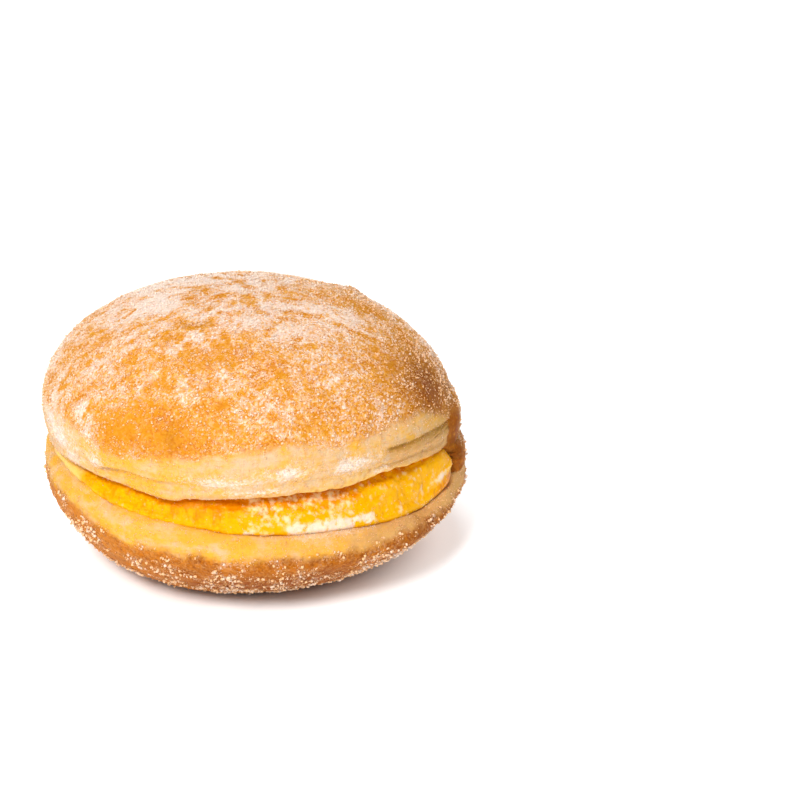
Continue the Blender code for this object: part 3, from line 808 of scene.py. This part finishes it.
def crystal(kind):
    """One grain of unit length: its points and triangles, modelled from a primitive."""
    bpy.ops.object.select_all(action="DESELECT")
    if kind == "coarse":
        bpy.ops.mesh.primitive_cube_add(size=1.0)
    else:
        bpy.ops.mesh.primitive_cone_add(vertices=3, radius1=0.6, radius2=0.0, depth=0.8)
    grain = bpy.context.object
    mesh = grain.data
    bpy.ops.object.mode_set(mode="EDIT")
    bpy.ops.mesh.select_all(action="SELECT")
    bpy.ops.transform.resize(value=(1.0, 0.72, 0.62))
    bpy.ops.mesh.select_all(action="DESELECT")
    bpy.ops.object.mode_set(mode="OBJECT")
    for vertex in mesh.vertices:
        vertex.select = vertex.co.z > 0.1
    bpy.ops.object.mode_set(mode="EDIT")
    bpy.ops.transform.translate(value=(0.16, 0.06, 0.0))
    bpy.ops.transform.resize(value=(0.8, 0.9, 1.0))
    bpy.ops.mesh.select_all(action="SELECT")
    bpy.ops.mesh.quads_convert_to_tris()
    bpy.ops.mesh.normals_make_consistent(inside=False)
    bpy.ops.object.mode_set(mode="OBJECT")
    points = read_points(mesh) * MM
    triangles = np.array([list(face.vertices) for face in mesh.polygons])
    bpy.data.objects.remove(grain)
    return points, triangles


def scattered(surface, density, milkiness, generator):
    """Points at random on a surface, with that many a square millimetre: places, normals and milkiness."""
    surface.calc_loop_triangles()
    corners = np.empty(len(surface.loop_triangles) * 3, np.int32)
    surface.loop_triangles.foreach_get("vertices", corners)
    corners = corners.reshape(-1, 3)
    points, normals = read_points(surface), read_normals(surface)
    a, b, c = (points[corners[:, i]] for i in range(3))
    area = 0.5 * np.linalg.norm(np.cross(b - a, c - a), axis=1)
    expected = area * np.clip(density[corners].mean(axis=1), 0.0, None)
    chosen = generator.choice(len(area), int(expected.sum()), p=expected / expected.sum())
    first, second = generator.random((2, len(chosen)))
    over = first + second > 1.0
    first[over], second[over] = 1.0 - first[over], 1.0 - second[over]
    share = np.column_stack((1.0 - first - second, first, second))[:, :, None]
    placed = (points[corners[chosen]] * share).sum(axis=1)
    facing = (normals[corners[chosen]] * share).sum(axis=1)
    milky = (milkiness[corners[chosen]] * share[:, :, 0]).sum(axis=1)
    return placed, facing / np.linalg.norm(facing, axis=1)[:, None], milky


def clumped(placed, facing, milky, generator):
    """The grains that stay when they gather in small clumps and streaks."""
    stays = 0.58 + 1.1 * grain_noise(placed, 1.25, 12.0, 3) + 0.4 * grain_noise(placed, (4.0, 2.0, 3.0), 13.0)
    kept = generator.random(len(placed)) < np.clip(stays, 0.06, 1.0)
    return placed[kept], facing[kept], milky[kept]


def random_turns(count, generator):
    """Rotation matrices, evenly over all directions."""
    quaternions = generator.normal(size=(count, 4))
    w, x, y, z = quaternions.T / np.linalg.norm(quaternions, axis=1)
    rows = (
        (1 - 2 * (y * y + z * z), 2 * (x * y - z * w), 2 * (x * z + y * w)),
        (2 * (x * y + z * w), 1 - 2 * (x * x + z * z), 2 * (y * z - x * w)),
        (2 * (x * z - y * w), 2 * (y * z + x * w), 1 - 2 * (x * x + y * y)),
    )
    return np.moveaxis(np.array(rows), 2, 0)


def lay_grains(name, kind, size, placed, facing, warmth, generator):
    """One piece of many grains, each turned its own way and sunk a little into the surface."""
    points, triangles = crystal(kind)
    count = len(placed)
    sizes = size / MM * generator.uniform(0.55, 1.1, count)
    turned = np.einsum("nij,pj->npi", random_turns(count, generator), points) * sizes[:, None, None]
    middle = placed + facing * (sizes * generator.uniform(0.10, 0.42, count))[:, None]
    grains = middle[:, None, :] + turned
    above = grains[:, :, 2].min(axis=1) > LEAST_HEIGHT
    grains, warmth = grains[above], warmth[above]
    count = len(grains)
    faces = (triangles[None] + len(points) * np.arange(count)[:, None, None]).reshape(-1, 3)
    mesh = bpy.data.meshes.new(name)
    mesh.vertices.add(count * len(points))
    mesh.loops.add(faces.size)
    mesh.polygons.add(len(faces))
    mesh.loops.foreach_set("vertex_index", faces.ravel().astype(np.int32))
    mesh.polygons.foreach_set("loop_start", np.arange(0, faces.size, 3, dtype=np.int32))
    write_points(mesh, grains.reshape(-1, 3))
    mesh.update(calc_edges=True)
    store(mesh, "warmth", np.repeat(warmth, len(points)))
    piece = bpy.data.objects.new(name, mesh)
    bpy.context.scene.collection.objects.link(piece)
    return piece


def sugar_density(mesh, points, sugar):
    """Grains a square millimetre for each kind, on the bun's skin."""
    _, _, height = round_the_bun(points)
    outside = 1.0 - slit_share(points)
    off_table = ease(0.3, 1.5, height)
    browned, bloom = stored(mesh, "browned"), stored(mesh, "bloom")
    lower = stored(mesh, "lower_crust")
    sugared = ease(0.0, 0.15, bloom) * outside * sugar.cover
    top = browned * (1.0 - lower) * sugared
    bottom = browned * lower * sugared * off_table
    return {
        "top_coarse": top * (0.5 + 2.0 * bloom),
        "top_fine": top * (3.5 + 6.0 * bloom),
        "bottom_coarse": bottom * (0.8 + 2.1 * bloom),
        "bottom_fine": bottom * (3.5 + 5.0 * bloom),
        "ring": (1.0 - browned) * outside * (1.3 + 4.2 * bloom) * sugar.cover,
    }


# ---- Operators ----


class DOUGHNUT_OT_bun(bpy.types.Operator):
    """Make the fried bun, with its folds, wrinkles and browning"""

    bl_idname = "doughnut.bun"
    bl_label = "Bun"

    def execute(self, context):
        dough = context.scene.doughnut_dough
        piece = smooth_copy("bun", "fried_bun", 2)
        shape_skin(piece.data, dough)
        colour_skin(piece.data)
        frost_skin(piece.data)
        finish_piece(piece, "bun", dough_material(dough))
        return {"FINISHED"}


class DOUGHNUT_OT_custard(bpy.types.Operator):
    """Make the custard filling, with its curds and wet streaks"""

    bl_idname = "doughnut.custard"
    bl_label = "Custard"

    def execute(self, context):
        custard = context.scene.doughnut_custard
        piece = smooth_copy("cream", "custard_filling", 3)
        points = read_points(piece.data)
        shape_custard(piece.data, points, custard)
        colour_custard(piece.data, points)
        finish_piece(piece, "cream", custard_material(custard))
        return {"FINISHED"}


class DOUGHNUT_OT_sugar(bpy.types.Operator):
    """Lay coarse and fine sugar grains on the crust, the pale ring and the custard"""

    bl_idname = "doughnut.sugar"
    bl_label = "Sugar"

    def execute(self, context):
        sugar = context.scene.doughnut_sugar
        generator = np.random.default_rng(sugar.seed)
        material = sugar_material(sugar)
        skin = bpy.data.objects["fried_bun"].data
        filling = bpy.data.objects["custard_filling"].data
        density = sugar_density(skin, read_points(skin), sugar)
        bloom = stored(skin, "bloom")
        # Sugar on the custard, with the painted highlight among it
        sugared = stored(filling, "sugared")
        showing = ease(36.5, 38.5, np.hypot(*read_points(filling)[:, :2].T))
        on_custard = showing * (0.2 + 2.4 * sugared**1.5)
        coarse, coarsest, fine = sugar.coarse, 1.4 * sugar.coarse, sugar.fine
        kinds = (
            ("sugar_top_coarse", "coarse", coarse, skin, density["top_coarse"], bloom),
            ("sugar_top_fine", "fine", fine, skin, density["top_fine"], bloom),
            ("sugar_bottom_coarse", "coarse", coarsest, skin, density["bottom_coarse"], bloom + 0.05),
            ("sugar_bottom_fine", "fine", fine, skin, density["bottom_fine"], bloom - 0.02),
            ("sugar_on_ring", "fine", fine, skin, density["ring"], bloom),
            ("sugar_and_glint_on_custard", "fine", fine, filling, on_custard, 0.7 * sugared),
        )
        for name, kind, size, surface, per_area, milkiness in kinds:
            placed, facing, milky = clumped(*scattered(surface, per_area, milkiness, generator), generator)
            warmth = np.clip(1.05 - 1.1 * milky + generator.normal(0.0, 0.22, len(placed)), 0.0, 1.0)
            piece = lay_grains(name, kind, size, placed, facing, warmth, generator)
            finish_piece(piece, None, material)
        return {"FINISHED"}


class DOUGHNUT_OT_stage(bpy.types.Operator):
    """Set up the white floor, the soft lights and the camera"""

    bl_idname = "doughnut.stage"
    bl_label = "Stage"

    def execute(self, context):
        scene, stage = context.scene, context.scene.doughnut_stage
        self.add_floor(stage)
        self.add_surroundings(scene, stage)
        self.add_light("key", KEY_PLACE, KEY_WIDTH, stage.key_power)
        self.add_light("top light", TOP_PLACE, TOP_WIDTH, stage.top_power)
        self.add_camera(scene)
        scene.view_settings.view_transform = "Standard"
        return {"FINISHED"}

    def add_floor(self, stage):
        """A white floor that glows away from the doughnut, so that only its shadow shows."""
        bpy.ops.object.select_all(action="DESELECT")
        bpy.ops.mesh.primitive_plane_add(size=FLOOR_WIDTH)
        floor = bpy.context.object
        floor.name = "floor"
        material, tree, shader = new_material("white_floor")
        where = object_coordinates(tree)
        cloudy = noise_texture(tree, where, 0.25, 2.0)
        colour = mixed(tree, cloudy, tuple(stage.floor), tuple(0.99 * c for c in stage.floor))
        link(tree, colour, shader, "Base Color")
        shader.inputs["Roughness"].default_value = 0.9
        shader.inputs["Specular IOR Level"].default_value = 0.1
        shader.inputs["Emission Color"].default_value = WHITE
        from_middle = make_node(tree, "ShaderNodeVectorMath", {0: where}, operation="LENGTH").outputs["Value"]
        near = times(tree, spread(tree, from_middle, *NEAR_GLOW), stage.glow)
        far = times(tree, spread(tree, from_middle, *FAR_GLOW), FAR_GLOW_STRENGTH)
        link(tree, added(tree, near, far), shader, "Emission Strength")
        floor.data.materials.append(material)

    def add_surroundings(self, scene, stage):
        world = bpy.data.worlds.new("white_surroundings")
        scene.world = world
        world.use_nodes = True
        surroundings = world.node_tree.nodes["Background"]
        surroundings.inputs["Color"].default_value = WHITE
        surroundings.inputs["Strength"].default_value = stage.ambient

    def add_light(self, name, place, size, power):
        bpy.ops.object.light_add(type="AREA", location=place)
        lamp = bpy.context.object
        lamp.name = name
        lamp.data.shape = "DISK"
        lamp.data.size = size
        lamp.data.energy = power
        lamp.rotation_euler = (-Vector(place)).to_track_quat("-Z", "Y").to_euler()

    def add_camera(self, scene):
        """A long lens that looks down at the doughnut, which comes in the left half of the frame."""
        down = math.radians(CAMERA_TILT)
        ahead = Vector((0.0, math.cos(down), -math.sin(down)))
        up = Vector((0.0, math.sin(down), math.cos(down)))
        right = Vector((1.0, 0.0, 0.0))
        across = (ORIGIN_IN_FRAME[0] - FRAME_MIDDLE) / FRAME_FOCAL * CAMERA_DISTANCE
        along = (FRAME_MIDDLE - ORIGIN_IN_FRAME[1]) / FRAME_FOCAL * CAMERA_DISTANCE
        place = -(ahead * CAMERA_DISTANCE + right * across + up * along)
        bpy.ops.object.camera_add(location=place)
        camera = bpy.context.object
        camera.matrix_world = Matrix.Translation(place) @ Matrix((right, up, -ahead)).transposed().to_4x4()
        camera.data.lens = SENSOR_WIDTH * FRAME_FOCAL / (2.0 * FRAME_MIDDLE)
        camera.data.sensor_width = SENSOR_WIDTH
        camera.data.clip_start = 0.01
        scene.camera = camera


class DOUGHNUT_PT_sidebar(bpy.types.Panel):
    """Lists the pieces of the doughnut"""

    bl_idname = "DOUGHNUT_PT_sidebar"
    bl_label = "Doughnut"
    bl_space_type = "VIEW_3D"
    bl_region_type = "UI"
    bl_category = "Doughnut"

    def draw(self, context):
        for operator, group in PIECES:
            box = self.layout.box()
            box.operator(operator.bl_idname)
            settings = getattr(context.scene, group)
            for name in settings.bl_rna.properties.keys():
                if name not in ("rna_type", "name"):
                    box.prop(settings, name)


PIECES = (
    (DOUGHNUT_OT_bun, "doughnut_dough"),
    (DOUGHNUT_OT_custard, "doughnut_custard"),
    (DOUGHNUT_OT_sugar, "doughnut_sugar"),
    (DOUGHNUT_OT_stage, "doughnut_stage"),
)
GROUPS = {
    "doughnut_dough": DoughSettings,
    "doughnut_custard": CustardSettings,
    "doughnut_sugar": SugarSettings,
    "doughnut_stage": StageSettings,
}
CLASSES = (*GROUPS.values(), *(operator for operator, _ in PIECES), DOUGHNUT_PT_sidebar)


def register():
    for each in CLASSES:
        bpy.utils.register_class(each)
    for name, group in GROUPS.items():
        setattr(bpy.types.Scene, name, bpy.props.PointerProperty(type=group))


def unregister():
    for name in GROUPS:
        delattr(bpy.types.Scene, name)
    for each in reversed(CLASSES):
        bpy.utils.unregister_class(each)


def main():
    register()
    bpy.ops.doughnut.bun()
    bpy.ops.doughnut.custard()
    bpy.ops.doughnut.sugar()
    bpy.ops.doughnut.stage()


if __name__ == "__main__":
    main()
